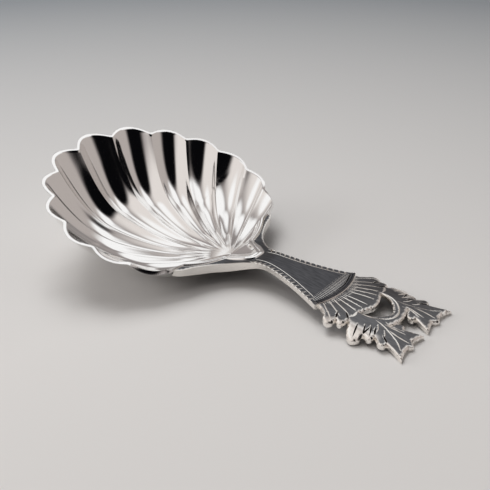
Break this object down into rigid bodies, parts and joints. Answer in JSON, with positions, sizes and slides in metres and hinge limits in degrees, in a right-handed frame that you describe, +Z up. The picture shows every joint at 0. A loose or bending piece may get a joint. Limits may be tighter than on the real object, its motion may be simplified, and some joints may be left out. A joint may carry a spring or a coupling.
{
  "type": "caddy spoon",
  "caption": "Silver tea-caddy spoon: a wide fluted shell bowl soldered onto a short flaring handle that ends in pierced, engraved leaves.",
  "frame": {"origin": "bottom centre of the whole spoon as it lies on a table", "axes": "+X runs from the bowl to the leaf tips, +Y to the left of a holder who points the bowl away, +Z up out of the bowl"},
  "size_m": [0.0822, 0.0502, 0.0183],
  "materials": {
    "polished_silver": "polished silver",
    "brushed_silver": "fine brushed silver, slightly darkened"
  },
  "bodies": {
    "root": {"bowl": "polished_silver", "handle": "brushed_silver"}
  },
  "joints": []
}
